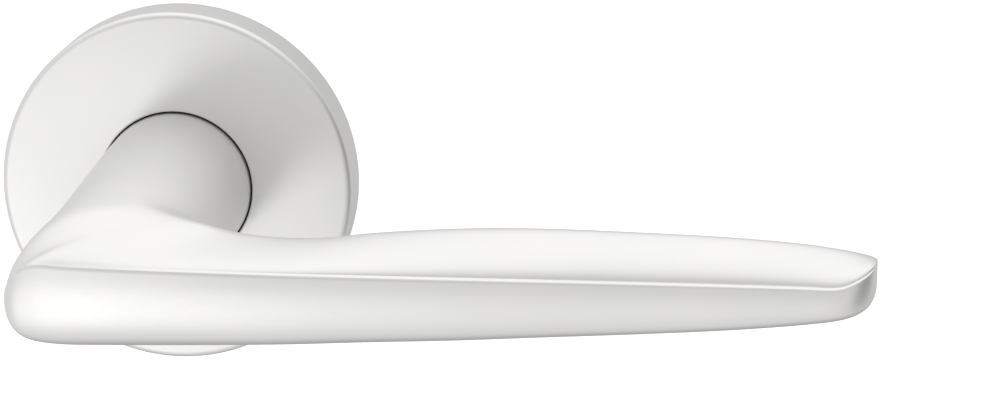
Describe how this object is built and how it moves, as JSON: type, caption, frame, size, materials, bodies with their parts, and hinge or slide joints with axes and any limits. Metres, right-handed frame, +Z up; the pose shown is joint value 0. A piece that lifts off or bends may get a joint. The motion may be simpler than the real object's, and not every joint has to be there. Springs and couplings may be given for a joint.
{
  "type": "door lever handle",
  "caption": "Satin aluminium door lever on a round clip-on rose, with a square spindle, spring return and two hidden bolts.",
  "frame": {"origin": "the point where the lever's turning axis meets the door face", "axes": "+X from the turning axis towards the lever's tip, +Y into the door along the spindle, +Z up"},
  "size_m": [0.137, 0.1109, 0.055],
  "materials": {
    "satin_aluminium": "satin, natural anodised",
    "cast_zinc": "zinc die casting, tumbled",
    "zinc_plated_steel": "bright zinc plating",
    "spring_steel": "drawn or rolled spring steel, oiled",
    "black_steel": "black oxide",
    "black_plastic": "moulded acetal, black"
  },
  "bodies": {
    "base": {"rose_base": "cast_zinc", "bearing_bush": "black_plastic", "return_spring": "spring_steel", "spring_pin": "zinc_plated_steel", "fixing_bolt_upper": "zinc_plated_steel", "fixing_bolt_lower": "zinc_plated_steel", "bolt_washer_upper": "zinc_plated_steel", "bolt_washer_lower": "zinc_plated_steel", "bolt_sleeve_upper": "zinc_plated_steel", "bolt_sleeve_lower": "zinc_plated_steel", "cover_clip_1": "spring_steel", "cover_clip_2": "spring_steel", "cover_clip_3": "spring_steel"},
    "lever": {"lever": "satin_aluminium", "driver": "black_plastic", "thrust_washer": "zinc_plated_steel", "retaining_ring": "spring_steel", "spindle": "zinc_plated_steel", "spindle_screw": "black_steel"},
    "cover": {"rose_cover": "satin_aluminium"}
  },
  "joints": [
    {"name": "lever_turn", "type": "hinge", "parent": "base", "child": "lever", "pos_m": [0, 0, 0], "axis": [0, 1, 0], "range_deg": [0, 45], "stiffness_Nm_per_rad": 0.8, "springref_deg": -28.65, "deforming": ["return_spring"]},
    {"name": "cover_slide", "type": "slide", "parent": "base", "child": "cover", "axis": [0, -1, 0], "range_m": [0, 0.02]}
  ]
}
